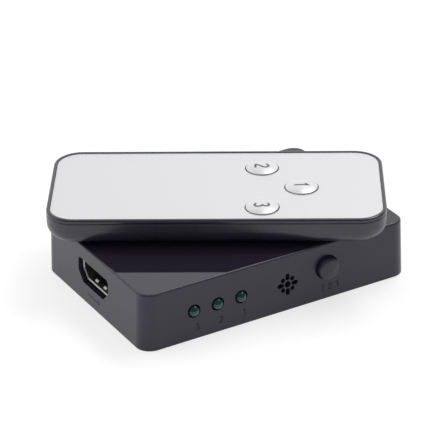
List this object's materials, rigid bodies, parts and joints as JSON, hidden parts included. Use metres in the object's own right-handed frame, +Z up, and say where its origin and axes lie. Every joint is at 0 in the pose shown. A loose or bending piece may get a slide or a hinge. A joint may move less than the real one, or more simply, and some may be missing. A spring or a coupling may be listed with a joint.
{
  "type": "hdmi switch box",
  "caption": "Low black box that switches video inputs to one output, with indicator lamps, a select button and a slim silver-faced remote control lying on its glossy roof.",
  "frame": {"origin": "middle of the box's underside, on the table", "axes": "+X along the front to the right, +Y from the front to the back, +Z up"},
  "size_m": [0.0885, 0.0732, 0.0237],
  "materials": {
    "case_black": "mirror-gloss roof, satin fine-grained sides",
    "cover_black": "fine-grained moulding",
    "screw_steel": "plated",
    "board_green": "solder-masked laminate",
    "socket_steel": "bright plated sheet",
    "insulator_black": "moulded",
    "contact_gold": "gold flash",
    "lamp_green": "tinted clear resin",
    "lead_tin": "tinned wire",
    "receiver_black": "infrared-pass resin",
    "button_grey": "satin moulding",
    "switch_black": "moulded",
    "chip_black": "moulded",
    "passive_tan": "ceramic",
    "remote_black": "satin moulding",
    "remote_rim_black": "polished rim",
    "plate_silver": "satin silver",
    "key_silver": "silver lacquer",
    "spring_steel": "bright spring strip",
    "remote_lamp": "infrared-pass resin",
    "cell_steel": "bright steel"
  },
  "bodies": {
    "box": {"top_case": "case_black", "bottom_cover": "cover_black", "case_screws": "screw_steel", "main_board": "board_green", "output_shell": "socket_steel", "output_insulator": "insulator_black", "output_contacts": "contact_gold", "input_1_shell": "socket_steel", "input_1_insulator": "insulator_black", "input_1_contacts": "contact_gold", "input_2_shell": "socket_steel", "input_2_insulator": "insulator_black", "input_2_contacts": "contact_gold", "input_3_shell": "socket_steel", "input_3_insulator": "insulator_black", "input_3_contacts": "contact_gold", "led_1": "lamp_green", "led_2": "lamp_green", "led_3": "lamp_green", "led_leads": "lead_tin", "ir_receiver": "receiver_black", "ir_receiver_leads": "lead_tin", "tact_switch": "switch_black", "switch_chip": "chip_black", "control_chip": "chip_black", "board_passives": "passive_tan", "dc_jack": "insulator_black", "dc_jack_pin": "socket_steel"},
    "button": {"select_button": "button_grey", "tact_plunger": "switch_black"},
    "remote": {"remote_lower_case": "remote_black", "remote_upper_case": "remote_rim_black", "remote_face_plate": "plate_silver", "remote_board": "board_green", "remote_domes": "spring_steel", "remote_chip": "chip_black", "remote_ir_led": "remote_lamp", "remote_battery_contacts": "spring_steel"},
    "key_1": {"remote_key_1": "key_silver"},
    "key_2": {"remote_key_2": "key_silver"},
    "key_3": {"remote_key_3": "key_silver"},
    "battery_drawer": {"remote_battery_tray": "remote_black", "remote_coin_cell": "cell_steel"}
  },
  "joints": [
    {"name": "remote_lift", "type": "slide", "parent": "box", "child": "remote", "axis": [0, 0, 1], "range_m": [0, 0.06]},
    {"name": "button_press", "type": "slide", "parent": "box", "child": "button", "axis": [0, 1, 0], "range_m": [0, 0.0005], "stiffness_N_per_m": 800},
    {"name": "key_1_press", "type": "slide", "parent": "remote", "child": "key_1", "axis": [0, 0, -1], "range_m": [0, 0.0003], "stiffness_N_per_m": 1200},
    {"name": "key_2_press", "type": "slide", "parent": "remote", "child": "key_2", "axis": [0, 0, -1], "range_m": [0, 0.0003], "stiffness_N_per_m": 1200},
    {"name": "key_3_press", "type": "slide", "parent": "remote", "child": "key_3", "axis": [0, 0, -1], "range_m": [0, 0.0003], "stiffness_N_per_m": 1200},
    {"name": "drawer_slide", "type": "slide", "parent": "remote", "child": "battery_drawer", "axis": [-0.8531, 0.5218, 0], "range_m": [0, 0.024]}
  ]
}
